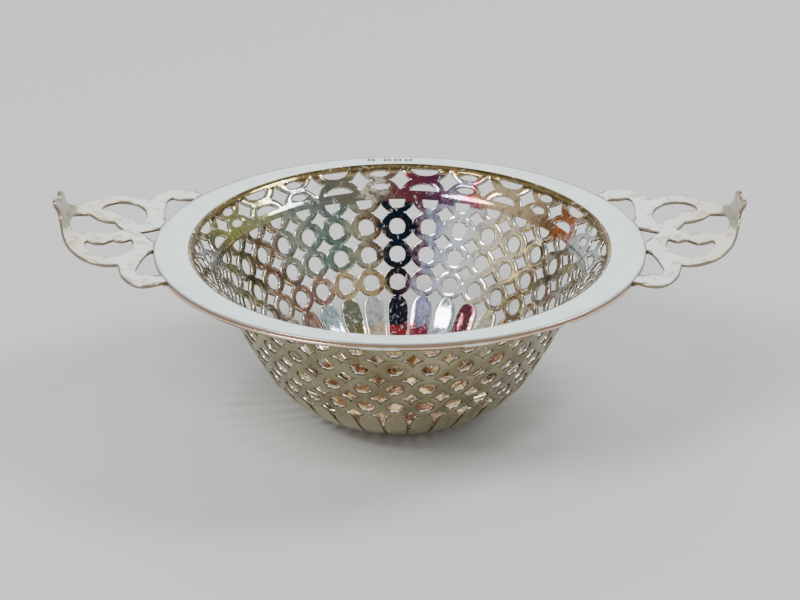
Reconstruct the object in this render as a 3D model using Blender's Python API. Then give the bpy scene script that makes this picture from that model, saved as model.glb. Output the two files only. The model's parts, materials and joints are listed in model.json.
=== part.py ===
"""Two-handled silver tea strainer.

Metres, +Z up. The origin is under the middle of the bowl's flat base, and the
handles lie along X. The bowl and its flange are one pierced sheet. A wire lies
under the flange's edge, and each pierced handle meets the rim at four pads,
with a small solder fillet under each.
"""

import math

import bmesh
import bpy

CLEARANCE = 0.0003  # between neighbouring pieces

# Sheet of the bowl and flange
SHEET_THICKNESS = 0.0006
MOUTH_RADIUS = 0.0384
FLANGE_SIDE_WIDTH = 0.0061  # towards the handles
FLANGE_FRONT_WIDTH = 0.0034  # across the handles
BASE_RADIUS = 0.0078
# Half section, from the mouth down. Slopes are measured from the vertical.
MOUTH_BEND_RADIUS = 0.0012
SHOULDER_LENGTH = 0.0054
SHOULDER_SLOPE = math.radians(45.7)
WAIST_RADIUS = 0.003
WALL_TOP_SLOPE = math.radians(22)
WALL_BOTTOM_SLOPE = math.radians(30)

# Pierced wall: a row of half rings, rows of full rings, then long spears
COLUMNS = 32
COLUMN_TURN = math.radians(91.8)
FULL_ROWS = 3
ROW_PITCH = 0.0054
HOLE_RADIUS = 0.00148
HALF_HOLE_DROP = 0.0002  # below the top of the wall
STAR_HALF_WIDTH = 0.0019
STAR_HALF_HEIGHT = 0.0016
STAR_WAIST = 0.40  # share of its half size where a star's hollow side is deepest
SPEAR_HALF_WIDTH = 0.00168
SLIT_HALF_WIDTH = 0.00016
SPEAR_DEPTHS = (0.0, 0.0006, 0.002, 0.005)  # below the head, where a spear's width is set
SPEAR_FALL = 0.0009  # depth over which its width falls by about two thirds
SLIT_MARGIN = 0.006  # from the end of a slit to the flat base

# Pierced shoulder: pairs of a small column of two ovals and a large one of two half ovals
SHOULDER_PAIRS = 13
PAIR_TURN = math.radians(96.1)
SMALL_OVAL_HALF_WIDTH = 0.0015
SMALL_OVAL_HALF_HEIGHT = 0.0006
SMALL_OVAL_OFFSET = 0.0013  # from the shoulder's middle line
LARGE_OVAL_HALF_WIDTH = 0.00235
LARGE_OVAL_HEIGHT = 0.0013
SHOULDER_BAND = 0.0004  # plain metal above and below the half ovals
SHOULDER_STAR_ANGLE = math.radians(6.4)  # from the middle of the small column
SHOULDER_STAR_HALF_WIDTH = 0.0018
SHOULDER_STAR_HALF_HEIGHT = 0.0019

# Rim wire
WIRE_WIDTH = 0.0012
WIRE_HEIGHT = 0.0005
WIRE_SEAT_ANGLE = math.radians(60)  # round its section from the edge to where the flat underside starts

# Handles. X runs out from the flange's edge and Y from the handle's middle line.
HANDLE_THICKNESS = 0.0007
HANDLE_INSET = 0.0005  # from the flange's edge back to where X starts
HANDLE_SHIFT = 0.0035
HANDLE_TURN = math.radians(5.4)
HANDLE_RISE = math.radians(7.5)
CURL_START = 0.0143
CURL_RADIUS = 0.0036
CURL_TOTAL = math.radians(62)
PAD_INNER_SIDE = 0.0033
PAD_OUTER_SIDE = 0.0067
LOBE_INNER_SIDE = 0.0174
LOBE_OUTER_SIDE = 0.0198
BAY_TIP = [(0.0035, 0.0), (0.0021, 0.0013)]
WINDOW_SIDE = [(0.0005, 0.0084), (0.0009, 0.0110), (0.0012, 0.0146), (0.0011, 0.0163), (0.0005, 0.0176)]
WINDOW_TOP = [(0.0005, 0.0176), (-0.0014, 0.0171)]
LOBE_ROUND = [(-0.0028, 0.0215), (-0.0009, 0.0221), (0.0013, 0.0211), (0.0033, 0.0186), (0.0046, 0.0147)]
ARM_SIDE = [(0.0046, 0.0147), (0.0067, 0.0157), (0.0094, 0.0154), (0.0120, 0.0138), (0.0143, 0.0110),
            (0.0160, 0.0076), (0.0171, 0.0050), (0.0181, 0.0033)]
TAB_SIDE = [(0.0181, 0.0033), (0.0192, 0.0027), (0.0204, 0.0032), (0.0212, 0.0028), (0.0214, 0.0018),
            (0.0209, 0.0007), (0.0198, 0.0)]
CENTRE_RUNS = [
    [(0.0065, 0.0), (0.0077, 0.0012), (0.0087, 0.0027)],
    [(0.0087, 0.0027), (0.0100, 0.0025), (0.0119, 0.0030), (0.0139, 0.0046)],
    [(0.0139, 0.0046), (0.0151, 0.0036), (0.0161, 0.0020), (0.0163, 0.0)],
]
OVAL_RUNS = [
    [(0.0045, 0.0034), (0.0038, 0.0050), (0.0036, 0.0074), (0.0046, 0.0104), (0.0067, 0.0122),
     (0.0094, 0.0120), (0.0112, 0.0103), (0.0120, 0.0083), (0.0118, 0.0069)],
    [(0.0118, 0.0069), (0.0104, 0.0074), (0.0090, 0.0070), (0.0075, 0.0049)],
    [(0.0075, 0.0049), (0.0059, 0.0050), (0.0045, 0.0034)],
]

# Solder fillets
FILLET_WIDTH = 0.0012
FILLET_HEIGHT = 0.0006
FILLET_HALF_ANGLE = math.radians(2)

# Facets
HOLE_SIDES = 8
OVAL_SIDES = 6
RIM_STEPS_PER_PAIR = 4
WIRE_SEGMENTS = 64
CURL_STEPS = 4
PETAL_CUTS = 3

FLANGE_HALF_LENGTH = MOUTH_RADIUS + FLANGE_SIDE_WIDTH
FLANGE_HALF_WIDTH = MOUTH_RADIUS + FLANGE_FRONT_WIDTH
WALL_LENGTH = (FULL_ROWS + 0.5) * ROW_PITCH


def clear_scene():
    for obj in list(bpy.data.objects):
        bpy.data.objects.remove(obj, do_unlink=True)


def silver(name, colour, roughness):
    material = bpy.data.materials.new(name)
    material.use_nodes = True
    shader = material.node_tree.nodes["Principled BSDF"]
    shader.inputs["Base Color"].default_value = (*colour, 1)
    shader.inputs["Metallic"].default_value = 1
    shader.inputs["Roughness"].default_value = roughness
    return material


def make_object(name, bm, material):
    mesh = bpy.data.meshes.new(name)
    bm.to_mesh(mesh)
    bm.free()
    mesh.materials.append(material)
    mesh.shade_smooth()
    mesh.set_sharp_from_angle(angle=math.radians(35))
    obj = bpy.data.objects.new(name, mesh)
    bpy.context.scene.collection.objects.link(obj)
    return obj


def thicken_down(obj, thickness):
    """Gives a sheet its thickness below its own upper face."""
    solidify = obj.modifiers.new("Thickness", "SOLIDIFY")
    solidify.thickness = thickness
    solidify.offset = -1
    solidify.use_even_offset = True


def face_up(bm):
    """Turns all faces of a connected sheet the same way, with the upper side out."""
    bmesh.ops.recalc_face_normals(bm, faces=bm.faces)
    if max(bm.faces, key=lambda face: face.calc_area()).normal.z < 0:
        bmesh.ops.reverse_faces(bm, faces=bm.faces)


def flat_sheet(loops, cuts, axis):
    """A flat mesh inside the first loop and outside the others, cut across at each value of an axis."""
    bm = bmesh.new()
    edges = []
    for loop in loops:
        verts = [bm.verts.new((x, y, 0)) for x, y in loop]
        edges += [bm.edges.new(pair) for pair in zip(verts, verts[1:] + verts[:1])]
    bmesh.ops.triangle_fill(bm, edges=edges, use_beauty=True, use_dissolve=False, normal=(0, 0, 1))
    for cut in cuts:
        place = [0, 0, 0]
        place[axis] = cut
        normal = [0, 0, 0]
        normal[axis] = 1
        geometry = bm.verts[:] + bm.edges[:] + bm.faces[:]
        bmesh.ops.bisect_plane(bm, geom=geometry, dist=1e-6, plane_co=place, plane_no=normal)
    return bm


# The bowl's half section: arcs and straights, each with an evenly changing slope


def along(stage, distance):
    """(radius, height) at a distance into a stage."""
    length, first, last, radius, height = stage
    bend = (last - first) / length
    slope = first + bend * distance
    if abs(bend) < 1e-9:
        return radius - distance * math.sin(first), height - distance * math.cos(first)
    return (radius + (math.cos(slope) - math.cos(first)) / bend,
            height - (math.sin(slope) - math.sin(first)) / bend)


def half_section():
    """The stages from the mouth to the flat base, with the mouth at height 0."""
    lengths = [MOUTH_BEND_RADIUS * (math.pi / 2 - SHOULDER_SLOPE), SHOULDER_LENGTH,
               WAIST_RADIUS * (SHOULDER_SLOPE - WALL_TOP_SLOPE), WALL_LENGTH]
    slopes = [math.pi / 2, SHOULDER_SLOPE, SHOULDER_SLOPE, WALL_TOP_SLOPE, WALL_BOTTOM_SLOPE]
    stages = []
    place = (MOUTH_RADIUS, 0.0)
    for length, first, last in zip(lengths, slopes, slopes[1:]):
        stages.append((length, first, last, *place))
        place = along(stages[-1], length)
    base_bend_radius = (place[0] - BASE_RADIUS) / math.cos(WALL_BOTTOM_SLOPE)
    base_bend_length = base_bend_radius * (math.pi / 2 - WALL_BOTTOM_SLOPE)
    stages.append((base_bend_length, WALL_BOTTOM_SLOPE, math.pi / 2, *place))
    return stages


MOUTH_BEND, SHOULDER, WAIST, WALL, BASE_BEND = half_section()
RIM_HEIGHT = SHEET_THICKNESS - along(BASE_BEND, BASE_BEND[0])[1]


def on_wall(distance):
    """(radius, height) at a distance down the wall, which runs on into the base bend."""
    if distance <= WALL[0]:
        return along(WALL, distance)
    return along(BASE_BEND, distance - WALL[0])


def on_shoulder(distance):
    return along(SHOULDER, distance)


# Hole outlines, in a flat plan: X across a column and Y up towards the mouth


def arc(x, y, half_width, half_height, start, end, steps):
    """Points on an oval, from a start angle to an end angle in degrees."""
    angles = [math.radians(start + (end - start) * step / steps) for step in range(steps + 1)]
    return [(x + half_width * math.cos(a), y + half_height * math.sin(a)) for a in angles]


def oval(x, y, half_width, half_height, sides):
    """A whole oval, with a flat at each of its two sides."""
    half_step = 180 / sides
    return arc(x, y, half_width, half_height, half_step, 360 - half_step, sides - 1)


def star_side(x, y, half_width, half_height):
    """The left half of a hollow-sided star's outline, from its top tip to its bottom tip."""
    return [(x, y + half_height),
            (x - STAR_WAIST * half_width, y + STAR_WAIST * half_height),
            (x - half_width, y),
            (x - STAR_WAIST * half_width, y - STAR_WAIST * half_height),
            (x, y - half_height)]


def star(x, y, half_width, half_height):
    left = star_side(x, y, half_width, half_height)
    right = [(2 * x - px, py) for px, py in left[1:-1]]
    return left + right[::-1]


def spear_side(x, top, shoulder, slit_end):
    """The left half of a spear: a star's top, a hollow taper, then a slit."""
    head_height = top - shoulder
    points = [(x, top), (x - STAR_WAIST * SPEAR_HALF_WIDTH, shoulder + STAR_WAIST * head_height)]
    for depth in SPEAR_DEPTHS:
        share = math.exp(-(depth / SPEAR_FALL) ** 0.75)
        half_width = SLIT_HALF_WIDTH + (SPEAR_HALF_WIDTH - SLIT_HALF_WIDTH) * share
        points.append((x - half_width, shoulder - depth))
    points.append((x - SLIT_HALF_WIDTH, slit_end))
    points.append((x, slit_end))
    return points


# The pierced sheet


def wall_sector():
    """One column of the wall, from the middle of one row of stars to the next."""
    bottom = WALL[0] + BASE_BEND[0]
    half_pitch = math.pi / COLUMNS

    def edge(distance):
        return half_pitch * on_wall(distance)[0]

    side = [(edge(0), 0)]
    for row in range(FULL_ROWS):
        middle = (row + 0.5) * ROW_PITCH
        half_star = [(0, STAR_HALF_HEIGHT - middle), (-STAR_HALF_WIDTH, -middle),
                     (0, -STAR_HALF_HEIGHT - middle)]
        side += [(edge(-y) + x, y) for x, y in half_star]
    head_top = STAR_HALF_HEIGHT - WALL_LENGTH
    half_spear = spear_side(0, head_top, -WALL_LENGTH, SLIT_MARGIN - bottom)
    side += [(edge(-y) + x, y) for x, y in half_spear]
    side.append((edge(bottom), -bottom))
    outline = side + [(-x, y) for x, y in side[::-1]] + [(0, 0)]
    holes = [arc(0, -HALF_HOLE_DROP, HOLE_RADIUS, HOLE_RADIUS, 180, 360, 3)]
    holes += [oval(0, -(row + 1) * ROW_PITCH, HOLE_RADIUS, HOLE_RADIUS, HOLE_SIDES)
              for row in range(FULL_ROWS)]
    petal_top = WALL_LENGTH + SPEAR_DEPTHS[-1]
    petal_cuts = [-petal_top - (bottom - SLIT_MARGIN - petal_top) * step / PETAL_CUTS
                  for step in range(PETAL_CUTS + 1)]
    return flat_sheet([outline, *holes], petal_cuts, 1)


def shoulder_sector():
    """One pair of columns of the shoulder, from the middle of one small column to the next."""
    pair_angle = 2 * math.pi / SHOULDER_PAIRS
    middle = SHOULDER_LENGTH / 2
    middle_radius = on_shoulder(middle)[0]
    width = pair_angle * middle_radius
    steps = RIM_STEPS_PER_PAIR

    def across(share, distance):
        return share * pair_angle * on_shoulder(distance)[0]

    small = [arc(0, -middle + side * SMALL_OVAL_OFFSET, SMALL_OVAL_HALF_WIDTH, SMALL_OVAL_HALF_HEIGHT,
                 90, -90, OVAL_SIDES // 2) for side in (1, -1)]
    left = [point for half in small for point in half]
    right = [(across(1, -y) - x, y) for x, y in left]
    top = [(across(step / steps, 0), 0) for step in range(steps + 1)]
    bottom = [(across(step / steps, SHOULDER_LENGTH), -SHOULDER_LENGTH) for step in range(steps + 1)]
    outline = top + right + bottom[::-1] + left[::-1]
    centre = width / 2
    star_x = SHOULDER_STAR_ANGLE * middle_radius
    holes = [arc(centre, -SHOULDER_BAND, LARGE_OVAL_HALF_WIDTH, LARGE_OVAL_HEIGHT, 180, 360, 3),
             arc(centre, SHOULDER_BAND - SHOULDER_LENGTH, LARGE_OVAL_HALF_WIDTH, LARGE_OVAL_HEIGHT,
                 0, 180, 3),
             star(star_x, -middle, SHOULDER_STAR_HALF_WIDTH, SHOULDER_STAR_HALF_HEIGHT),
             star(width - star_x, -middle, SHOULDER_STAR_HALF_WIDTH, SHOULDER_STAR_HALF_HEIGHT)]
    return flat_sheet([outline, *holes], [], 1)


def wrap_sectors(bm, sector, place, copies, first_angle):
    """Bends a flat sector round the bowl and repeats it, joining the copies edge to edge."""
    for copy in range(copies):
        turn = first_angle + 2 * math.pi * copy / copies
        new = {}
        for vert in sector.verts:
            radius, height = place(-vert.co.y)
            angle = turn + vert.co.x / radius
            new[vert] = bm.verts.new((radius * math.cos(angle), radius * math.sin(angle),
                                      RIM_HEIGHT + height))
        for face in sector.faces:
            bm.faces.new([new[vert] for vert in face.verts])
    sector.free()


def ring(count, first_angle, half_length, half_width):
    angles = [first_angle + 2 * math.pi * index / count for index in range(count)]
    return [(half_length * math.cos(a), half_width * math.sin(a)) for a in angles]


def add_band(bm, outer, inner, outer_height, inner_height):
    """Fills between two rings of points, which may have different counts."""
    band = flat_sheet([outer, inner], [], 1)
    outer_keys = {(round(x, 7), round(y, 7)) for x, y in outer}
    new = {}
    for vert in band.verts:
        is_outer = (round(vert.co.x, 7), round(vert.co.y, 7)) in outer_keys
        new[vert] = bm.verts.new((vert.co.x, vert.co.y, outer_height if is_outer else inner_height))
    for face in band.faces:
        bm.faces.new([new[vert] for vert in face.verts])
    band.free()


def build_bowl():
    bm = bmesh.new()
    rim_count = SHOULDER_PAIRS * RIM_STEPS_PER_PAIR
    edge = ring(rim_count, PAIR_TURN, FLANGE_HALF_LENGTH, FLANGE_HALF_WIDTH)
    mouth = ring(rim_count, PAIR_TURN, MOUTH_RADIUS, MOUTH_RADIUS)
    add_band(bm, edge, mouth, RIM_HEIGHT, RIM_HEIGHT)
    middle_radius, middle_height = along(MOUTH_BEND, MOUTH_BEND[0] / 2)
    top_radius, top_height = on_shoulder(0)
    middle = ring(rim_count, PAIR_TURN, middle_radius, middle_radius)
    top = ring(rim_count, PAIR_TURN, top_radius, top_radius)
    add_band(bm, mouth, middle, RIM_HEIGHT, RIM_HEIGHT + middle_height)
    add_band(bm, middle, top, RIM_HEIGHT + middle_height, RIM_HEIGHT + top_height)
    wrap_sectors(bm, shoulder_sector(), on_shoulder, SHOULDER_PAIRS, PAIR_TURN)
    waist_radius, waist_height = on_shoulder(SHOULDER_LENGTH)
    wall_radius, wall_height = on_wall(0)
    waist = ring(rim_count, PAIR_TURN, waist_radius, waist_radius)
    wall_top = ring(2 * COLUMNS, COLUMN_TURN, wall_radius, wall_radius)
    add_band(bm, waist, wall_top, RIM_HEIGHT + waist_height, RIM_HEIGHT + wall_height)
    wrap_sectors(bm, wall_sector(), on_wall, COLUMNS, COLUMN_TURN)
    first = COLUMN_TURN + math.pi / COLUMNS
    base = ring(COLUMNS, first, BASE_RADIUS, BASE_RADIUS)
    bm.faces.new([bm.verts.new((x, y, SHEET_THICKNESS)) for x, y in base])
    bmesh.ops.remove_doubles(bm, verts=bm.verts, dist=2e-6)
    face_up(bm)
    obj = make_object("pierced_bowl", bm, silver("bowl silver", (0.78, 0.76, 0.70), 0.16))
    thicken_down(obj, SHEET_THICKNESS)


# Rim wire


def on_rim(angle, inset):
    """A point inside the flange's edge by an inset, at an angle round the oval."""
    return ((FLANGE_HALF_LENGTH - inset) * math.cos(angle), (FLANGE_HALF_WIDTH - inset) * math.sin(angle))


def add_sweep(bm, section, angles, closed):
    """Carries a section of (inset, height) points round the flange's edge."""
    rows = []
    for angle in angles:
        rows.append([bm.verts.new((*on_rim(angle, inset), height)) for inset, height in section])
    pairs = list(zip(rows, rows[1:]))
    if closed:
        pairs.append((rows[-1], rows[0]))
    for here, there in pairs:
        for index in range(len(section)):
            after = (index + 1) % len(section)
            bm.faces.new([here[index], there[index], there[after], here[after]])
    if not closed:
        bm.faces.new(rows[0])
        bm.faces.new(rows[-1])
    bmesh.ops.recalc_face_normals(bm, faces=bm.faces)


def build_wire():
    """A half-round wire, flat side up and level with the flange's edge, worn flat where it sits on a lip."""
    top = RIM_HEIGHT - SHEET_THICKNESS - CLEARANCE
    half_width = WIRE_WIDTH / 2
    depth = WIRE_HEIGHT / math.sin(WIRE_SEAT_ANGLE)
    turns = [0, WIRE_SEAT_ANGLE / 2, WIRE_SEAT_ANGLE]
    turns += [math.pi - a for a in reversed(turns)]
    section = [(half_width + half_width * math.cos(a), top - depth * math.sin(a)) for a in turns]
    bm = bmesh.new()
    angles = [2 * math.pi * index / WIRE_SEGMENTS for index in range(WIRE_SEGMENTS)]
    add_sweep(bm, section, angles, True)
    make_object("rim_wire", bm, silver("wire silver", (0.80, 0.78, 0.73), 0.14))


# Handles


def smooth_run(points):
    """Points along a smooth curve through the given ones, with one more between each two."""
    path = [points[0], *points, points[-1]]
    out = []
    for a, b, c, d in zip(path, path[1:], path[2:], path[3:]):
        out.append(b)
        out.append(tuple((9 * (q + r) - p - s) / 16 for p, q, r, s in zip(a, b, c, d)))
    return out


def to_plan(x, y):
    """From the handle's own flat plan to the strainer's, for the right handle."""
    cos, sin = math.cos(HANDLE_TURN), math.sin(HANDLE_TURN)
    start = FLANGE_HALF_LENGTH - HANDLE_INSET
    return start + x * cos - y * sin, HANDLE_SHIFT + x * sin + y * cos


def rim_contact(y):
    """The handle's own X where it meets the flange's edge, less the clearance."""
    x = 0.0
    for _ in range(12):
        px, py = to_plan(x, y)
        edge = FLANGE_HALF_LENGTH * math.sqrt(1 - (py / FLANGE_HALF_WIDTH) ** 2)
        x += edge + CLEARANCE / math.cos(math.asin(py / FLANGE_HALF_WIDTH)) - px
    return x


def half_outline(side):
    """The handle's outline on one side of its middle line, from the bay's tip to the tab's notch."""
    def contact(y):
        return rim_contact(side * y), y

    points = smooth_run(BAY_TIP)
    pad_middle = (PAD_INNER_SIDE + PAD_OUTER_SIDE) / 2
    points += [contact(PAD_INNER_SIDE), contact(pad_middle), contact(PAD_OUTER_SIDE)]
    points += smooth_run(WINDOW_SIDE)
    points += smooth_run(WINDOW_TOP)
    points += [contact(LOBE_INNER_SIDE), contact(LOBE_OUTER_SIDE)]
    for run in (LOBE_ROUND, ARM_SIDE, TAB_SIDE):
        points += smooth_run(run)
    return [(x, side * y) for x, y in points]


def joined(runs):
    return [point for run in runs for point in smooth_run(run)]


def bend_up(x):
    """(distance out, height) of a point at x in the flat plan: a straight rise, then a curl."""
    if x <= 0:
        return x, 0.0
    rise = min(x, CURL_START)
    out, up = rise * math.cos(HANDLE_RISE), rise * math.sin(HANDLE_RISE)
    curl = min(max(x - CURL_START, 0) / CURL_RADIUS, CURL_TOTAL)
    slope = HANDLE_RISE + curl
    out += CURL_RADIUS * (math.sin(slope) - math.sin(HANDLE_RISE))
    up += CURL_RADIUS * (math.cos(HANDLE_RISE) - math.cos(slope))
    rest = max(x - CURL_START - CURL_RADIUS * CURL_TOTAL, 0)
    return out + rest * math.cos(slope), up + rest * math.sin(slope)


def build_handle(name, side):
    """A pierced sheet whose inner ends meet the rim. The two handles are mirror images."""
    front, back = half_outline(-1), half_outline(1)
    outline = back + [TAB_SIDE[-1]] + front[:0:-1]
    centre = joined(CENTRE_RUNS)
    centre += [CENTRE_RUNS[-1][-1]] + [(x, -y) for x, y in centre[:0:-1]]
    back_oval = joined(OVAL_RUNS)
    front_oval = [(x, -y) for x, y in back_oval]
    cuts = [0.0] + [CURL_START + CURL_RADIUS * CURL_TOTAL * step / CURL_STEPS
                    for step in range(CURL_STEPS + 1)]
    bm = flat_sheet([outline, centre, back_oval, front_oval], cuts, 0)
    for vert in bm.verts:
        out, up = bend_up(vert.co.x)
        x, y = to_plan(out, vert.co.y)
        vert.co = (side * x, y, RIM_HEIGHT + up)
    face_up(bm)
    obj = make_object(name, bm, silver(name + " silver", (0.83, 0.82, 0.78), 0.2))
    thicken_down(obj, HANDLE_THICKNESS)


# Solder


def rim_angle(y, side):
    """The angle round the flange's oval at a handle's own Y."""
    px, py = to_plan(rim_contact(y), y)
    return math.atan2(py / FLANGE_HALF_WIDTH, side * px / FLANGE_HALF_LENGTH)


def build_fillet(name, y, side):
    """A hollow-faced fillet in the corner under a handle's pad and outside the wire."""
    top = RIM_HEIGHT - HANDLE_THICKNESS - CLEARANCE
    start = -CLEARANCE
    section = [(start, top), (start - FILLET_WIDTH, top),
               (start - FILLET_WIDTH * 0.35, top - FILLET_HEIGHT * 0.35), (start, top - FILLET_HEIGHT)]
    middle = rim_angle(y, side)
    angles = [middle + FILLET_HALF_ANGLE * (step / 2 - 1) for step in range(5)]
    bm = bmesh.new()
    add_sweep(bm, section, angles, False)
    make_object(name, bm, silver(name + " silver", (0.74, 0.71, 0.64), 0.3))


def build_handle_set(side_name, side):
    build_handle(side_name + "_handle", side)
    lobe = (LOBE_INNER_SIDE + LOBE_OUTER_SIDE) / 2
    neck = (PAD_INNER_SIDE + PAD_OUTER_SIDE) / 2
    build_fillet(side_name + "_back_lobe_solder", lobe, side)
    build_fillet(side_name + "_back_neck_solder", neck, side)
    build_fillet(side_name + "_front_neck_solder", -neck, side)
    build_fillet(side_name + "_front_lobe_solder", -lobe, side)


def main():
    clear_scene()
    build_bowl()
    build_wire()
    build_handle_set("left", -1)
    build_handle_set("right", 1)


main()
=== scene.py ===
import json
import math

import bmesh
import bpy
import numpy as np
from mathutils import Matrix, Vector
from mathutils.geometry import delaunay_2d_cdt

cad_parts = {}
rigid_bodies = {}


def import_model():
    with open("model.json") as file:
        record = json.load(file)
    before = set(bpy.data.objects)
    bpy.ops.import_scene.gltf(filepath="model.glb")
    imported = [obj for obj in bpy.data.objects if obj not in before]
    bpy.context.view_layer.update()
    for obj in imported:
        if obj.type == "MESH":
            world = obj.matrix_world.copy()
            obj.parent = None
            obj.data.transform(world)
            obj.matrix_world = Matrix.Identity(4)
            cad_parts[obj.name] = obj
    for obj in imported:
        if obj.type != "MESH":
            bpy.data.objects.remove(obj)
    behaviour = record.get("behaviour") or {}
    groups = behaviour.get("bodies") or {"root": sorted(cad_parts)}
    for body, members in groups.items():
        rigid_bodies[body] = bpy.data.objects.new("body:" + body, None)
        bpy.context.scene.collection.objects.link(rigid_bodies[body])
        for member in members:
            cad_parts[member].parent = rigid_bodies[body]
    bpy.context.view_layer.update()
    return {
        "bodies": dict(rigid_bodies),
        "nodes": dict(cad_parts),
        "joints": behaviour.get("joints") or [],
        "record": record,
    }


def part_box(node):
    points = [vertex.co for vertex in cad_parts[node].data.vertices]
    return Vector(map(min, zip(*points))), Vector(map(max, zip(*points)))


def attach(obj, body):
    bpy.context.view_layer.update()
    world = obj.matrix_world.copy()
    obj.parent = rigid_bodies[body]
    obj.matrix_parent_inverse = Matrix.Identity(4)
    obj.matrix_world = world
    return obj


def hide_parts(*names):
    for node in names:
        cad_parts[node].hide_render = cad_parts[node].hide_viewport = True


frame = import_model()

mm = 0.001
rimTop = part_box("pierced_bowl")[1].z / mm  # the flange's upper face, in millimetres
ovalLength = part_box("rim_wire")[1].x / mm  # half sizes of the flange's oval
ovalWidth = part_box("rim_wire")[1].y / mm


def newPiece(name, points, faces, material, smoothAngle=60):
    # a mesh from points in millimetres and lists of indices; edges sharper than smoothAngle
    # stay crisp
    mesh = bpy.data.meshes.new(name)
    mesh.from_pydata((np.asarray(points) * mm).tolist(), [], faces)
    mesh.validate()
    turned = bmesh.new()
    turned.from_mesh(mesh)
    bmesh.ops.recalc_face_normals(turned, faces=turned.faces)  # turns every face outward
    turned.to_mesh(mesh)
    turned.free()
    mesh.materials.append(material)
    mesh.shade_smooth()
    mesh.set_sharp_from_angle(angle=math.radians(smoothAngle))
    piece = bpy.data.objects.new(name, mesh)
    bpy.context.scene.collection.objects.link(piece)
    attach(piece, "root")
    mesh.calc_loop_triangles()
    print(name, len(mesh.loop_triangles), "triangles")
    return piece


def gridFaces(rows, columns, closed=False, looped=False):
    # quads of a grid of points stored row by row; closed joins the last column to the first,
    # and looped the last row to the first
    across = np.arange(columns if closed else columns - 1)
    onward = (across + 1) % columns
    down = np.arange(rows if looped else rows - 1)[:, None]
    above = down * columns
    below = (down + 1) % rows * columns
    return np.stack([above + across, above + onward, below + onward, below + across], -1).reshape(-1, 4)


section = {
    "mouthRadius": 38.4,
    "mouthBend": 1.2,
    "shoulderLength": 5.4,
    "shoulderSlope": 45.7,  # slopes are degrees from the vertical
    "waistBend": 3.0,
    "wallTopSlope": 22.0,
    "wallBottomSlope": 30.0,
    "wallLength": 18.9,
    "baseRadius": 7.8,
    "flangeDown": -6.1,  # distances along the flange are negative, and reach its edge here
    "samples": 6001,
}


def halfSection(s):
    # the slope changes evenly along each stage; radius and height are the running
    # sums of its sine and cosine over the distance down from the mouth
    rad = math.radians
    lengths = [s["mouthBend"] * rad(90 - s["shoulderSlope"]), s["shoulderLength"],
               s["waistBend"] * rad(s["shoulderSlope"] - s["wallTopSlope"]), s["wallLength"]]
    slopes = [90, s["shoulderSlope"], s["shoulderSlope"], s["wallTopSlope"], s["wallBottomSlope"]]

    def trace(lengths, slopes):
        joints = np.concatenate([[0], np.cumsum(lengths)])
        down = np.linspace(0, joints[-1], s["samples"])
        slope = np.radians(np.interp(down, joints, slopes))
        step = down[1] - down[0]
        sine = np.sin(slope)
        cosine = np.cos(slope)
        inward = np.concatenate([[0], np.cumsum((sine[1:] + sine[:-1]) / 2)]) * step
        radius = s["mouthRadius"] - inward
        height = -np.concatenate([[0], np.cumsum((cosine[1:] + cosine[:-1]) / 2)]) * step
        return joints, down, radius, height, slope

    # a last bend turns the wall flat just where the base begins
    endRadius = trace(lengths, slopes)[2][-1]
    bend = (endRadius - s["baseRadius"]) / math.cos(rad(s["wallBottomSlope"]))
    lengths += [bend * rad(90 - s["wallBottomSlope"]), s["baseRadius"]]
    slopes += [90, 90]
    return trace(lengths, slopes)


joints, tableDown, tableRadius, tableHeight, tableSlope = halfSection(section)
shoulderTop, shoulderEnd, wallTop, wallEnd, baseStart, poleDown = joints[1:]
tableRadius = np.maximum(tableRadius - tableRadius[-1] * tableDown / poleDown, 0)  # 0 at the middle
print("section traced,", round(poleDown, 1), "mm from mouth to middle")


def radiusAt(down):
    # the section's radius, read between the traced samples
    return np.interp(down, tableDown, tableRadius)


def onSheet(angle, down, depth):
    # a point of the sheet: turned section for the bowl, and for the flange a share of the
    # way from the mouth's circle to the oval edge; depth goes in from the upper face
    slope = np.interp(down, tableDown, tableSlope)
    oval = 1 / np.sqrt((np.cos(angle) / ovalLength) ** 2 + (np.sin(angle) / ovalWidth) ** 2)
    share = np.clip(down / section["flangeDown"], 0, 1)
    radius = radiusAt(np.maximum(down, 0)) + (oval - section["mouthRadius"]) * share
    height = np.interp(np.maximum(down, 0), tableDown, tableHeight)
    radius = radius + np.cos(slope) * depth
    height = height - np.sin(slope) * depth
    return np.stack([radius * np.cos(angle), radius * np.sin(angle), rimTop + height], -1)


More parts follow.
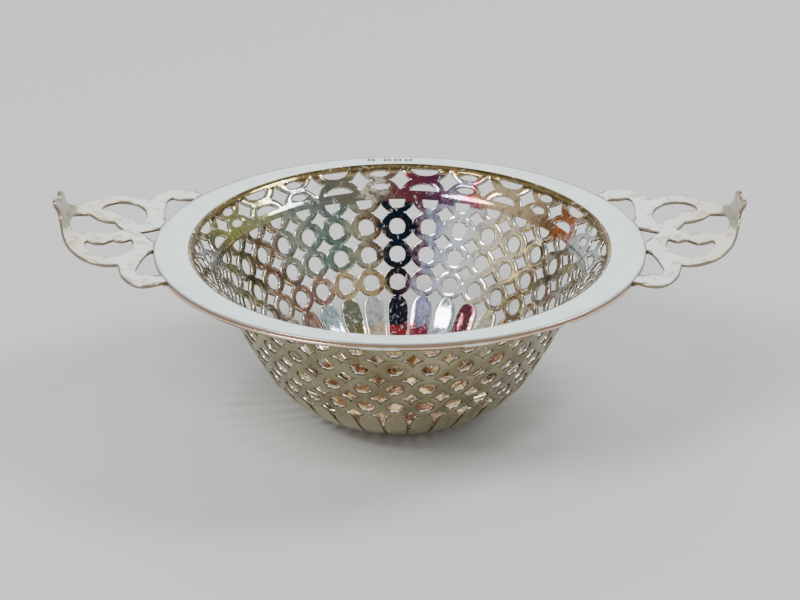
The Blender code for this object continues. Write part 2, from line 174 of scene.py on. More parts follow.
piercing = {
    "columns": 32,
    "columnTurn": 90.9,  # degrees, middle of the column at the back
    "unevenness": 1.25,  # degrees: the columns were laid out by eye and drift round the front
    "rowPitch": 5.4,
    "fullRows": 3,
    "holeRadius": 1.5,
    "halfHole": (1.52, 1.68),  # half width and depth of the half rings' holes
    "halfHoleDrop": 0.18,  # from the top of the wall to their flats
    "star": (1.84, 1.72, 0.0, 0.74),  # half width, half height, blunt end, hollowness
    "spearHead": (1.86, 1.68, 0.0, 0.76),
    "spearFall": 0.9,  # how fast a spear narrows under its head, and the power of that fall
    "spearPower": 0.75,
    "slitHalfWidth": 0.14,
    "slitEnd": 33.7,  # down the sheet from the top of the wall
    "pairs": 13,
    "pairTurn": 96.1,
    "starAngle": 6.4,  # from the middle of a small column
    "smallOval": (1.65, 0.68),
    "largeOval": (2.6, 1.4),
    "largeBand": 0.42,  # plain metal between a half oval and the shoulder's edge
    "smallStar": (2.2, 1.95, 0.22, 0.8),
    "largeStar": (1.95, 1.95, 0.22, 0.8),
    "thickness": 0.599,
    "edgeRound": 0.09,
    "edgeBand": 0.16,  # width of the strip of faces along each cut edge
    "widestBand": 0.3,  # the most of a cell that such a strip takes up
    "petalRows": 25,
    "petalCrowding": 1.9,  # above 1, rows crowd towards the spear's head
    "runOutRows": 9,
    "baseRows": 6,
    "flangeShares": (1, 0.975, 0.8, 0.6, 0.4, 0.2, 0.03),
}


def cornerRun(side, level, star, towards):
    # from the cell's middle line out to its side, at one level: straight, or round a
    # quarter of a star whose outline is cos^(2/power), sin^(2/power) between its tips
    if star is None:
        share = np.linspace(0, 1, 5)
        return share * side(level), np.full(5, level)
    wide, tall, blunt, power = star
    neck = side(level) - wide
    neckX = np.array([0, neck / 2, neck - piercing["edgeBand"]])
    theta = np.linspace(0, np.pi / 2, 7)
    outX = blunt + (wide - blunt) * np.abs(np.cos(theta)) ** (2 / power)
    outY = level + towards * tall * np.abs(np.sin(theta)) ** (2 / power)
    x = np.concatenate([neckX, side(outY) - outX])
    y = np.concatenate([np.full(3, level), outY])
    if blunt:
        x = np.append(x, side(outY[-1]))
        y = np.append(y, outY[-1])
    return x, y


def cellOutline(side, top, bottom, starTop, starBottom, middle=3):
    # the cell's outer line, clockwise from the middle of its top: half is worked out, and
    # mirrored across the middle line
    topX, topY = cornerRun(side, top, starTop, -1)
    lowX, lowY = cornerRun(side, bottom, starBottom, 1)
    y = np.linspace(topY[-1], lowY[-1], middle + 1)[1:-1]
    x = np.concatenate([topX, side(y), lowX[::-1]])
    y = np.concatenate([topY, y, lowY[::-1]])
    return np.concatenate([x, -x[-2:0:-1]]), np.concatenate([y, y[-2:0:-1]])


def roundHole(x, y, centre, size, half):
    # points of an oval at the angle of each outer point, once the cell is scaled to a circle
    angle = np.arctan2((y - centre) / half[1], x / half[0])
    return size[0] * np.cos(angle), centre + size[1] * np.sin(angle)


def halfHole(x, y, flatFrom, flat, size, half):
    # a half oval: outer points at flatFrom map to its flat, and the others to its arc
    reach = np.abs(flatFrom - y)
    angle = np.arctan2(reach / half[1], x / half[0])
    sign = -1 if flat < flatFrom else 1
    arcX = size[0] * np.cos(angle)
    arcY = flat + sign * size[1] * np.sin(angle)
    onFlat = reach < 1e-9
    return np.where(onFlat, size[0] * x / half[0], arcX), np.where(onFlat, flat, arcY)


def cellGrid(outer, inner):
    # rows from the hole's line to the outer line, with a narrow band along each
    ox, oy = outer
    ix, iy = inner
    width = np.hypot(ox - ix, oy - iy)
    band = np.minimum(piercing["edgeBand"] / width, piercing["widestBand"])
    shares = np.stack([0 * band, band, 0 * band + 0.5, 1 - band, 0 * band + 1])
    return ix + (ox - ix) * shares, iy + (oy - iy) * shares, gridFaces(5, len(ox), True)


def repeatRound(angle, down, faces, count, firstAngle):
    # copies of a cell at equal turns round the bowl
    turns = math.radians(firstAngle) + 2 * np.pi * np.arange(count) / count
    angles = (turns[:, None] + angle.reshape(1, -1)).reshape(-1)
    downs = np.tile(down.reshape(-1), count)
    step = np.arange(count)[:, None, None] * down.size
    return angles, downs, (faces[None] + step).reshape(-1, 4)


def repeatCell(x, y, faces, level, count, firstAngle):
    # a flat cell's copies: y is a distance up the sheet, and x over the radius is an angle
    down = level - y
    return repeatRound(x / radiusAt(down), down, faces, count, firstAngle)


def uneven(cell, p):
    # turns each angle back by unevenness times 1 - sine, which is 0 behind and 2 in front
    angles, downs, faces = cell
    return angles - math.radians(p["unevenness"]) * (1 - np.sin(angles)), downs, faces


def wallCells(p):
    # a row of half rings, then the full rings: each cell is a ring's hole in the middle of
    # four quarter stars, and its sides follow the radius, so the cells narrow downwards
    half = math.pi / p["columns"]
    cells = []
    pitch = p["rowPitch"]
    for row in range(p["fullRows"] + 1):
        level = wallTop + row * pitch

        def side(y, level=level):
            return half * radiusAt(level - y)

        size = (half * radiusAt(level), pitch / 2)
        if row == 0:
            outer = cellOutline(side, 0.0, -pitch / 2, None, p["star"])
            inner = halfHole(*outer, 0.0, -p["halfHoleDrop"], p["halfHole"], size)
        else:
            lower = p["spearHead"] if row == p["fullRows"] else p["star"]
            outer = cellOutline(side, pitch / 2, -pitch / 2, p["star"], lower, 4)
            inner = roundHole(*outer, 0.0, (p["holeRadius"],) * 2, size)
        x, y, faces = cellGrid(outer, inner)
        ring = repeatCell(x, y, faces, level, p["columns"], p["columnTurn"])
        cells.append(uneven(ring, p))
    return cells


def spearHalfWidth(depth, p):
    # falls as exp(-(depth / fall)^power) under the head, then runs on as a slit
    fall = np.exp(-(np.maximum(depth, 0) / p["spearFall"]) ** p["spearPower"])
    return p["slitHalfWidth"] + (p["spearHead"][0] - p["slitHalfWidth"]) * fall


def petalCells(p):
    # each petal is a grid between two spears, and below the slits the sheet runs on in the
    # same columns over the last bend and to the middle of the base
    half = math.pi / p["columns"]
    start = wallEnd
    stop = wallTop + p["slitEnd"]
    depth = (stop - start) * np.linspace(0, 1, p["petalRows"])[:, None] ** p["petalCrowding"]
    side = half * radiusAt(start + depth)
    edge = side - spearHalfWidth(depth, p)
    band = p["edgeBand"]
    x = np.concatenate([-edge, band - edge, -edge / 2, 0 * edge, edge / 2, edge - band, edge], 1)
    y = -depth + 0 * x
    petal = repeatCell(x, y, gridFaces(*x.shape), start, p["columns"], p["columnTurn"])
    bend = np.linspace(0, baseStart - stop, p["runOutRows"])
    base = baseStart - stop + section["baseRadius"] * np.linspace(0, 1, p["baseRows"])[1:]
    depth = np.concatenate([bend, base])[:, None]
    angle = half * np.concatenate([[-1], x[-1] / side[-1], [1]])
    angle, down = np.broadcast_arrays(angle, stop + depth)
    runOut = repeatRound(angle, down, gridFaces(*down.shape), p["columns"], p["columnTurn"])
    return [uneven(petal, p), uneven(runOut, p)]


def shoulderCells(p):
    # two rows, above and below the middle of the shoulder; narrow cells with a small oval
    # alternate with wide ones whose half oval has its flat to the shoulder's edge
    middle = shoulderTop + section["shoulderLength"] / 2
    tall = section["shoulderLength"] / 2
    pairAngle = 2 * math.pi / p["pairs"]
    smallHalf = math.radians(p["starAngle"])
    largeHalf = pairAngle / 2 - smallHalf
    cells = []
    for sign in (1, -1):
        for half, star, turn in ((smallHalf, p["smallStar"], 0),
                                 (largeHalf, p["largeStar"], pairAngle / 2)):

            def side(y, half=half):
                return half * radiusAt(middle - y)

            size = (half * radiusAt(middle), tall)
            if sign > 0:
                outer = cellOutline(side, tall, 0.0, None, star, 2)
            else:
                outer = cellOutline(side, 0.0, -tall, star, None, 2)
            if turn:
                flat = sign * (tall - p["largeBand"])
                inner = halfHole(*outer, sign * tall, flat, p["largeOval"], (side(sign * tall), tall))
            else:
                inner = roundHole(*outer, sign * tall / 2, p["smallOval"], (size[0], tall / 2))
            x, y, faces = cellGrid(outer, inner)
            firstAngle = p["pairTurn"] + math.degrees(turn)
            cells.append(repeatCell(x, y, faces, middle, p["pairs"], firstAngle))
    return cells


def ringAngles(cells, level):
    # the sorted angles of all points that lie on one ring of the sheet
    found = [angles[np.abs(downs - level) < 1e-6] for angles, downs, faces in cells]
    found = np.concatenate(found)
    return np.unique(np.round(found % (2 * np.pi), 9) % (2 * np.pi))


def bands(angles, downs):
    # plain rings of the sheet through the given angles
    grid = np.meshgrid(angles, downs)
    return grid[0].reshape(-1), grid[1].reshape(-1), gridFaces(len(downs), len(angles), True)


def stitch(upper, upperDown, lower, lowerDown):
    # triangles between two rings with different angles: each step along one ring
    # meets the last point passed on the other
    angles = np.concatenate([upper, lower])
    downs = np.concatenate([np.full(len(upper), upperDown), np.full(len(lower), lowerDown)])
    a = np.arange(len(upper))
    nextA = (a + 1) % len(upper)
    meetA = (np.searchsorted(lower, upper[nextA], "right") - 1) % len(lower) + len(upper)
    b = np.arange(len(lower))
    nextB = (b + 1) % len(lower)
    meetB = (np.searchsorted(upper, lower[nextB], "left") - 1) % len(upper)
    faces = np.concatenate([np.stack([a, nextA, meetA, meetA], 1),
                            np.stack([b + len(upper), nextB + len(upper), meetB, meetB], 1)])
    return angles, downs, faces


def shell(name, place, faces, p, material, smoothAngle=80):
    # place(depth) gives every point of a sheet at a depth below its upper face. The sheet gets
    # a lower face, and walls along the edges that only one face has; points on such an edge
    # are set in by edgeRound, which rounds it
    edges = np.stack([faces.reshape(-1), np.roll(faces, -1, 1).reshape(-1)], 1)
    edges = edges[edges[:, 0] != edges[:, 1]]
    same, first, times = np.unique(np.sort(edges, 1), axis=0, return_index=True, return_counts=True)
    rim = edges[first[times == 1]]
    count = len(place(0.0))
    onRim = np.zeros(count, bool)
    onRim[rim] = True
    upper = place(np.where(onRim, p["edgeRound"], 0))
    lower = place(np.where(onRim, p["thickness"] - p["edgeRound"], p["thickness"]))
    walls = np.stack([rim[:, 1], rim[:, 0], rim[:, 0] + count, rim[:, 1] + count], 1)
    whole = np.concatenate([faces, faces[:, ::-1] + count, walls])
    double = whole == np.roll(whole, -1, 1)
    thin = double.any(1)
    quads = whole[~thin].tolist()
    triangles = whole[thin][~double[thin]].reshape(-1, 3).tolist()
    points = np.concatenate([upper, lower])
    piece = newPiece(name, points, quads + triangles, material, smoothAngle)
    sheetMap = np.zeros((2 * count, 4))
    sheetMap[:count, 0] = 1  # red is 1 on the upper face, green is 1 on an edge
    sheetMap[:, 1] = np.tile(onRim, 2)
    layer = piece.data.attributes.new("sheetMap", "FLOAT_COLOR", "POINT")
    layer.data.foreach_set("color", sheetMap.ravel())
    return piece


def buildBowl(p, material):
    # the cells' patches, plain bands for the flange, the mouth's bend and the waist, and a
    # stitched ring where the shoulder's 13 pairs meet the wall's 32 columns
    shoulder = shoulderCells(p)
    wall = wallCells(p)
    shoulderAngles = ringAngles(shoulder, shoulderTop)
    waistAngles = ringAngles(shoulder, shoulderEnd)
    flangeDowns = section["flangeDown"] * np.array(p["flangeShares"])
    waistDowns = np.linspace(shoulderEnd, wallTop, 5)
    patches = shoulder + wall + petalCells(p)
    bendDowns = np.linspace(0, shoulderTop, 6)
    patches.append(bands(shoulderAngles, np.concatenate([flangeDowns, bendDowns])))
    patches.append(bands(waistAngles, waistDowns[:-1]))
    patches.append(stitch(waistAngles, waistDowns[-2], ringAngles(wall, wallTop), wallTop))
    angles = np.concatenate([patch[0] for patch in patches])
    downs = np.concatenate([patch[1] for patch in patches])
    starts = np.cumsum([0] + [len(patch[0]) for patch in patches[:-1]])
    faces = np.concatenate([patch[2] + start for patch, start in zip(patches, starts)])
    # points that share a place become one
    key = np.round(onSheet(angles, downs, 0), 3) + 0.0
    same, first, index = np.unique(key, axis=0, return_index=True, return_inverse=True)
    faces = index.reshape(-1)[faces]
    angles = angles[first]
    downs = downs[first]

    def place(depth):
        return onSheet(angles, downs, depth)

    bowl = shell("piercedBowl", place, faces, p, material)
    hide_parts("pierced_bowl")


wire = {
    "width": 1.2,
    "top": 0.52,  # below the flange's upper face
    "bottom": 1.3,
    "squareness": 2.6,
    "steps": 360,
    "sides": 20,
}


def buildWire(p, material):
    # a rounded section, cos and sin each raised to 2/squareness, carried round the flange's edge
    angle = np.linspace(0, 2 * np.pi, p["steps"], endpoint=False)[:, None]
    turn = np.linspace(0, 2 * np.pi, p["sides"], endpoint=False)[None]
    power = 2 / p["squareness"]
    across = np.sign(np.cos(turn)) * np.abs(np.cos(turn)) ** power
    upward = np.sign(np.sin(turn)) * np.abs(np.sin(turn)) ** power
    inset = p["width"] / 2 * (1 - across)
    height = (p["bottom"] - p["top"]) / 2 * upward - (p["top"] + p["bottom"]) / 2
    x = (ovalLength - inset) * np.cos(angle)
    y = (ovalWidth - inset) * np.sin(angle)
    points = np.stack([x, y, rimTop + height + 0 * x], -1)
    faces = gridFaces(p["steps"], p["sides"], True, True).tolist()
    piece = newPiece("rimWire", points.reshape(-1, 3), faces, material, 70)
    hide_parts("rim_wire")


# outlines of one half of a handle: x runs outward from the flange and y away from the
# handle's middle line; each run is a smooth curve through its points
handle = {
    "inset": 0.5,  # of the plan's starting line, from the flange's furthest point
    "shift": 3.5,
    "turn": 5.4,  # degrees, towards the back
    "rise": 7.5,  # degrees
    "curlStart": 14.3,
    "curlRadius": 3.6,
    "curlTurn": 62,  # degrees
    "pad": (3.3, 6.7),  # where the neck pad and the lobe meet the flange's edge
    "lobe": (17.4, 19.8),
    "bay": [(3.5, 0.0), (2.9, 0.6), (2.1, 1.3)],
    "windowSide": [(0.5, 8.4), (0.9, 11.0), (1.2, 14.6), (1.1, 16.3), (0.5, 17.6)],
    "windowTop": [(0.5, 17.6), (-1.4, 17.1)],
    "lobeRound": [(-2.8, 21.5), (-0.9, 22.1), (1.3, 21.1), (3.3, 18.6), (4.6, 14.7)],
    "arm": [(4.6, 14.7), (6.7, 15.7), (9.4, 15.4), (12.0, 13.8), (14.3, 11.0), (16.0, 7.6),
            (17.1, 5.0), (18.1, 3.3)],
    "tab": [(18.1, 3.3), (19.2, 2.7), (20.4, 3.2), (21.2, 2.8), (21.4, 1.8), (20.9, 0.7),
            (19.8, 0.0)],
    "centre": [[(6.5, 0.0), (7.7, 1.2), (8.7, 2.7)],
               [(8.7, 2.7), (10.0, 2.5), (11.9, 3.0), (13.9, 4.6)],
               [(13.9, 4.6), (15.1, 3.6), (16.1, 2.0), (16.3, 0.0)]],
    "oval": [[(4.5, 3.4), (3.8, 5.0), (3.6, 7.4), (4.6, 10.4), (6.7, 12.2), (9.4, 12.0),
              (11.2, 10.3), (12.0, 8.3), (11.8, 6.9)],
             [(11.8, 6.9), (10.4, 7.4), (9.0, 7.0), (7.5, 4.9)],
             [(7.5, 4.9), (5.9, 5.0), (4.5, 3.4)]],
    "thickness": 0.64,
    "edgeRound": 0.08,
    "edgeBand": 0.16,
    "spacing": 0.75,  # of the points inside the flat shape
    "fitIn": 0.02,  # how far a pad runs into the flange's edge
    "edgeFlat": 0.3,  # nearer the flange than this, the cut edge stands upright
}


def smooth(points, steps=5):
    # between each two points, a cubic whose slope at a point is half the step between that
    # point's neighbours (Catmull-Rom); the last point is left for the next run
    p = np.array([points[0], *points, points[-1]], float)
    t = np.linspace(0, 1, steps, endpoint=False)[:, None]
    a, b, c, d = (q[:, None] for q in (p[:-3], p[1:-2], p[2:-1], p[3:]))
    square = 2 * a - 5 * b + 4 * c - d
    cube = 3 * b - a - 3 * c + d
    curve = 2 * b + (c - a) * t + square * t ** 2 + cube * t ** 3
    return curve.reshape(-1, 2) / 2


def toPlan(x, y, h):
    # from the handle's own flat plan to the strainer's, for the right handle: a turn, then a
    # step out to the flange's edge
    turn = math.radians(h["turn"])
    return (ovalLength - h["inset"] + x * math.cos(turn) - y * math.sin(turn),
            h["shift"] + x * math.sin(turn) + y * math.cos(turn))


def contact(y, h):
    # where a line at y meets the flange's edge: each step adds what x still lacks of the
    # oval's x at that place
    y = np.asarray(y, float)
    x = 0 * y
    for step in range(12):
        px, py = toPlan(x, y, h)
        x = x + ovalLength * np.sqrt(1 - (py / ovalWidth) ** 2) - h["fitIn"] - px
    return np.stack([x, y], -1)


def halfOutline(side, h):
    # the runs of one half joined end to end, from the bay on the middle line round to the
    # tab; side is 1 for the back half and -1 for the mirrored front half
    def edge(start, stop, steps):
        points = contact(side * np.linspace(start, stop, steps), h)
        return points * (1, side)

    runs = [smooth(h["bay"]), [h["bay"][-1]], edge(*h["pad"], 12), smooth(h["windowSide"]),
            smooth(h["windowTop"]), edge(*h["lobe"], 9), smooth(h["lobeRound"]), smooth(h["arm"]),
            smooth(h["tab"], 4), [h["tab"][-1]]]
    return np.concatenate(runs) * (1, side)


def loopDistance(points, loops):
    # least distance from each point to any loop's edges
    starts = np.concatenate(loops)
    along = np.concatenate([np.roll(loop, -1, 0) - loop for loop in loops])
    away = points[:, None] - starts[None]
    share = np.clip((away * along).sum(-1) / (along ** 2).sum(-1), 0, 1)
    return np.sqrt(((away - share[..., None] * along) ** 2).sum(-1)).min(1)


def insideLoops(points, loops):
    # even-odd rule: counts the edges crossed by a line to the right of each point
    crossings = np.zeros(len(points), int)
    for loop in loops:
        a = loop[None]
        b = np.roll(loop, -1, 0)[None]
        px, py = points[:, 0, None], points[:, 1, None]
        spans = (a[..., 1] > py) != (b[..., 1] > py)
        rise = np.where(spans, b[..., 1] - a[..., 1], 1)
        reach = a[..., 0] + (py - a[..., 1]) * (b[..., 0] - a[..., 0]) / rise
        crossings += (spans & (px < reach)).sum(1)
    return crossings % 2 == 1


def fillLoops(loops, band, spacing):
    # triangles of a pierced flat shape: its loops, a second line a band inside each edge, and
    # a square grid that keeps clear of both
    extra = []
    for loop in loops:
        along = np.roll(loop, -1, 0) - np.roll(loop, 1, 0)
        length = np.linalg.norm(along, axis=1)[:, None]
        across = np.stack([-along[:, 1], along[:, 0]], -1) / length
        extra += [loop + across * band, loop - across * band]
    low = np.concatenate(loops).min(0)
    high = np.concatenate(loops).max(0)
    gridX = np.arange(low[0], high[0], spacing)
    gridY = np.arange(low[1], high[1], spacing)
    grid = np.stack(np.meshgrid(gridX, gridY), -1).reshape(-1, 2)
    grid = grid[loopDistance(grid, loops) > band * 2.2]
    extra = np.concatenate(extra)
    extra = extra[loopDistance(extra, loops) > band * 0.9]
    inner = np.concatenate([extra, grid])
    inner = inner[insideLoops(inner, loops)]
    points = np.concatenate([*loops, inner])
    starts = np.cumsum([0] + [len(loop) for loop in loops])
    edges = []
    for loop, start in zip(loops, starts):
        index = np.arange(len(loop))
        edges.append(np.stack([index, (index + 1) % len(loop)], 1) + start)
    flat = [Vector(point) for point in points.tolist()]
    filled = delaunay_2d_cdt(flat, np.concatenate(edges).tolist(), [], 0, 1e-6)
    points = np.array([tuple(point) for point in filled[0]])
    faces = np.array(filled[2])
    faces = faces[insideLoops(points[faces].mean(1), loops)]
    return points, faces[:, [0, 1, 2, 2]]


def buildHandle(name, node, side, h, material):
    # the flat shape is bent up: a straight rise, then an arc, then straight on; across the
    # sheet, depth goes square to that line
    back, front = halfOutline(1, h), halfOutline(-1, h)
    outline = np.concatenate([back, front[-2:0:-1]])
    centre = np.concatenate([smooth(run) for run in h["centre"]] + [[h["centre"][-1][-1]]])
    centre = np.concatenate([centre, centre[-2:0:-1] * (1, -1)])
    oval = np.concatenate([smooth(run) for run in h["oval"]])
    flat, faces = fillLoops([outline, centre, oval, oval * (1, -1)], h["edgeBand"], h["spacing"])
    rise = math.radians(h["rise"])
    x = flat[:, 0]
    straight = np.clip(x, 0, h["curlStart"])
    curl = np.clip((x - h["curlStart"]) / h["curlRadius"], 0, math.radians(h["curlTurn"]))
    slope = rise + curl
    rest = np.maximum(x - h["curlStart"] - h["curlRadius"] * math.radians(h["curlTurn"]), 0)
    out = np.minimum(x, 0) + straight * math.cos(rise) + rest * np.cos(slope)
    out = out + h["curlRadius"] * (np.sin(slope) - math.sin(rise))
    up = straight * math.sin(rise) + rest * np.sin(slope)
    up = up + h["curlRadius"] * (math.cos(rise) - np.cos(slope))
    slope = np.where(x < h["edgeFlat"], 0, slope)

    def place(depth):
        px, py = toPlan(out + depth * np.sin(slope), flat[:, 1], h)
        return np.stack([side * px, py, rimTop + up - depth * np.cos(slope)], -1)

    piece = shell(name, place, faces, h, material, 70)
    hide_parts(node)


solder = {
    "halfTurn": 2.1,  # degrees round the flange's edge
    "halfWidth": 0.62,
    "halfHeight": 0.36,
    "drop": 0.92,  # middle of the bead, below the flange's upper face
    "out": 0.2,
    "rings": 15,
    "sides": 16,
}


def buildSolder(name, node, y, side, p, h, material):
    # a bead along the flange's edge: an oval section whose size falls to nothing at both
    # ends as a half circle does
    (x, y), = contact([y], h)
    px, py = toPlan(x, y, h)
    middle = math.atan2(py / ovalWidth, side * px / ovalLength)
    rings, sides = p["rings"], p["sides"]
    u = np.sin(np.linspace(-np.pi / 2, np.pi / 2, rings + 2))[:, None]
    v = np.linspace(0, 2 * np.pi, sides, endpoint=False)[None]
    angle = middle + math.radians(p["halfTurn"]) * u
    size = np.sqrt(np.maximum(1 - u ** 2, 0))
    out = p["out"] + p["halfWidth"] * size * np.cos(v)
    points = np.stack([(ovalLength + out) * np.cos(angle), (ovalWidth + out) * np.sin(angle),
                       rimTop - p["drop"] + p["halfHeight"] * size * np.sin(v)], -1)
    ends = points[[0, -1]].mean(1)
    around = np.arange(sides)
    after = (around + 1) % sides
    lastRing = (rings - 1) * sides
    caps = [np.stack([np.full(sides, rings * sides), after, around], 1),
            np.stack([np.full(sides, rings * sides + 1), around + lastRing, after + lastRing], 1)]
    points = np.concatenate([points[1:-1].reshape(-1, 3), ends])
    faces = gridFaces(rings, sides, True).tolist() + np.concatenate(caps).tolist()
    piece = newPiece(name, points, faces, material)
    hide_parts(node)


class Link:
    # wraps a socket, so that a sum on it adds Math nodes to its tree
    def __init__(self, tree, socket=None):
        self.tree = tree
        self.socket = socket

    def node(self, kind, settings, inputs, out=0):
        # adds a node: settings first, then a value or a link for each socket named
        made = self.tree.nodes.new(kind)
        for key, value in settings.items():
            if key != "stops":
                setattr(made, key, value)
                continue
            made.color_ramp.interpolation, value = value
            stops = made.color_ramp.elements
            while len(stops) < len(value):
                stops.new(0.5)
            for stop, (position, colour) in zip(stops, value):
                stop.position = position
                stop.color = (*colour, 1)
        for key, value in inputs.items():
            socket = made.inputs[key]
            if isinstance(value, Link):
                self.tree.links.new(value.socket, socket)
            elif socket.type == "RGBA":
                socket.default_value = (*value, 1)
            else:
                socket.default_value = value
        return Link(self.tree, made.outputs[out] if len(made.outputs) else None)

    def math(self, operation, *others):
        values = dict(enumerate((self, *others)))
        return self.node("ShaderNodeMath", {"operation": operation}, values)

    def __add__(self, other):
        return self.math("ADD", other)

    def __sub__(self, other):
        return self.math("SUBTRACT", other)

    def __rsub__(self, other):
        return self.node("ShaderNodeMath", {"operation": "SUBTRACT"}, {0: other, 1: self})

    def __mul__(self, other):
        return self.math("MULTIPLY", other)

    def __pow__(self, other):
        return self.math("POWER", other)

    def __abs__(self):
        return self.math("ABSOLUTE")

    __radd__ = __add__
    __rmul__ = __mul__

    def step(self, low, high):
        # 0 at low and 1 at high, and between them smooth: 3 t^2 - 2 t^3
        return self.node("ShaderNodeMapRange", {"interpolation_type": "SMOOTHSTEP"},
                         {0: self, 1: low, 2: high, 3: 0.0, 4: 1.0})

    def parts(self):
        # x, y and z of a vector, or red, green and blue
        first = self.node("ShaderNodeSeparateXYZ", {}, {0: self})
        return [Link(self.tree, socket) for socket in first.socket.node.outputs]


def mixColours(amount, first, second):
    # first where amount is 0, second where it is 1
    return amount.node("ShaderNodeMix", {"data_type": "RGBA"}, {0: amount, 6: first, 7: second}, 2)


def ramp(value, stops, kind="LINEAR"):
    # the colour at value between the stops
    return value.node("ShaderNodeValToRGB", {"stops": (kind, stops)}, {0: value})


def equalSteps(colours):
    # stops at equal shares of the ramp, one for each colour
    return [(index / len(colours), colour) for index, colour in enumerate(colours)]


def noise(place, scale, detail=2.0, roughness=0.5):
    # smooth random values about 0.5, in lumps of about 1 / scale millimetres
    return place.node("ShaderNodeTexNoise", {}, {"Vector": place, "Scale": scale, "Detail": detail,
                                                 "Roughness": roughness})


def inMillimetres(t):
    # the place on the strainer, as 1000 times the object's own metres
    coordinates = t.node("ShaderNodeTexCoord", {}, {}, 3)
    return t.node("ShaderNodeVectorMath", {"operation": "SCALE"}, {0: coordinates, 3: 1000.0})


def stretched(place, scale):
    # each of x, y and z times its own scale: a small one draws a pattern out that way
    return place.node("ShaderNodeVectorMath", {"operation": "MULTIPLY"}, {0: place, 1: scale})


def sheetParts(t):
    # the sheet's own map: 1 on its upper face, and 1 along its cut edges
    face, edge, blue = t.node("ShaderNodeAttribute", {"attribute_name": "sheetMap"}, {}, 1).parts()
    return face, edge


def newMetal(name, build):
    # a bare metal: build gives its colour, roughness, height and how far that height lifts
    material = bpy.data.materials.new(name)
    material.use_nodes = True
    material.node_tree.nodes.clear()
    t = Link(material.node_tree)
    colour, roughness, height, lift = build(t)
    normal = t.node("ShaderNodeBump", {}, {"Strength": 1.0, "Distance": lift, "Height": height})
    shader = t.node("ShaderNodeBsdfPrincipled", {}, {"Base Color": colour, "Metallic": 1.0,
                                                     "Roughness": roughness, "Normal": normal})
    t.node("ShaderNodeOutputMaterial", {}, {"Surface": shader})
    print(name, "made")
    return material


def wear(place):
    # fine scratches one way and the other, and soft cloudy patches
    fine = noise(stretched(place, (1.2, 9.0, 9.0)), 1.0, 3.0, 0.6)
    cross = noise(stretched(place, (8.0, 1.0, 8.0)), 1.0, 3.0, 0.6)
    return fine, cross, noise(place, 0.22, 3.0, 0.6)


